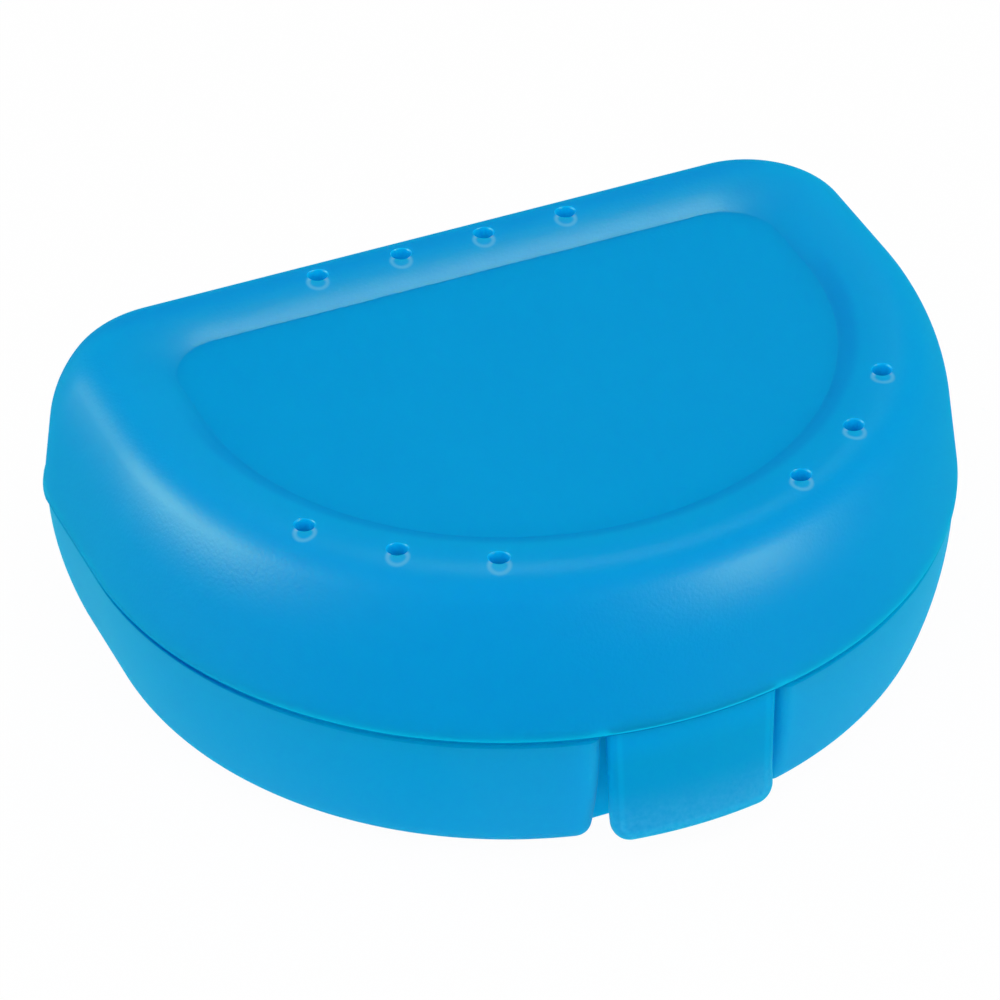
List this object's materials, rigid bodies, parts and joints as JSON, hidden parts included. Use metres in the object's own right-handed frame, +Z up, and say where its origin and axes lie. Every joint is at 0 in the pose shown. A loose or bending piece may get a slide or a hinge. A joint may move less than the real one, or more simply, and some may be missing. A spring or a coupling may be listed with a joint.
{
  "type": "orthodontic retainer case",
  "caption": "D-shaped hinged plastic case with a domed vented lid, a sunk top panel, a rear snap hinge and a front latch flap that drops into a finger recess.",
  "frame": {"origin": "centre of the overall outline, hinge included, on the surface that the closed case stands on", "axes": "+X along the width, +Y towards the hinge, +Z up; the latch flap faces -Y"},
  "size_m": [0.0802, 0.0668, 0.0292],
  "materials": {
    "base_plastic": "satin frosted translucent polypropylene, blue",
    "lid_plastic": "satin frosted translucent polypropylene, blue, fine grain",
    "flap_plastic": "satin frosted translucent polypropylene, blue"
  },
  "bodies": {
    "base": {"base_shell": "base_plastic", "left_hinge_ears": "base_plastic", "right_hinge_ears": "base_plastic", "left_hinge_rod": "base_plastic", "right_hinge_rod": "base_plastic", "latch_catch": "base_plastic"},
    "lid": {"lid_shell": "lid_plastic", "left_hinge_clip": "lid_plastic", "right_hinge_clip": "lid_plastic"},
    "flap": {"latch_flap": "flap_plastic", "latch_hook": "flap_plastic"}
  },
  "joints": [
    {"name": "lid_hinge", "type": "hinge", "parent": "base", "child": "lid", "pos_m": [0, 0.0312, 0.0143], "axis": [-1, 0, 0], "range_deg": [0, 175]},
    {"name": "flap_flex", "type": "hinge", "parent": "lid", "child": "flap", "pos_m": [0, -0.03263, 0.0144], "axis": [-1, 0, 0], "range_deg": [0, 25], "stiffness_Nm_per_rad": 0.02}
  ]
}
